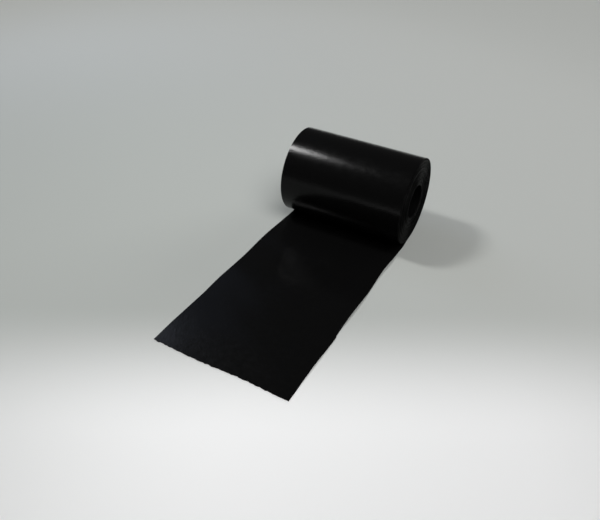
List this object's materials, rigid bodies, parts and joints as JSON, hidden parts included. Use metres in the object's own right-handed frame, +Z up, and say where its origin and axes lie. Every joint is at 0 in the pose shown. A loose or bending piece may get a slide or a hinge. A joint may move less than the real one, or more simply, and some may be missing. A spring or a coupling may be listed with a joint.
{
  "type": "roll of damp proof course",
  "caption": "Roll of black polythene damp proof course strip with an open bore, lying on its side with the free end pulled out flat in front.",
  "frame": {"origin": "on the floor, under the roll's axis and halfway along it, where the outermost turn leaves the roll", "axes": "+X along the roll's axis, -Y the way the free end runs out, +Z up"},
  "size_m": [0.2264, 0.5214, 0.155],
  "materials": {
    "polythene": "black low-density polythene sheet, satin, lightly scuffed"
  },
  "bodies": {
    "root": {"dpc_strip": "polythene"}
  },
  "joints": []
}
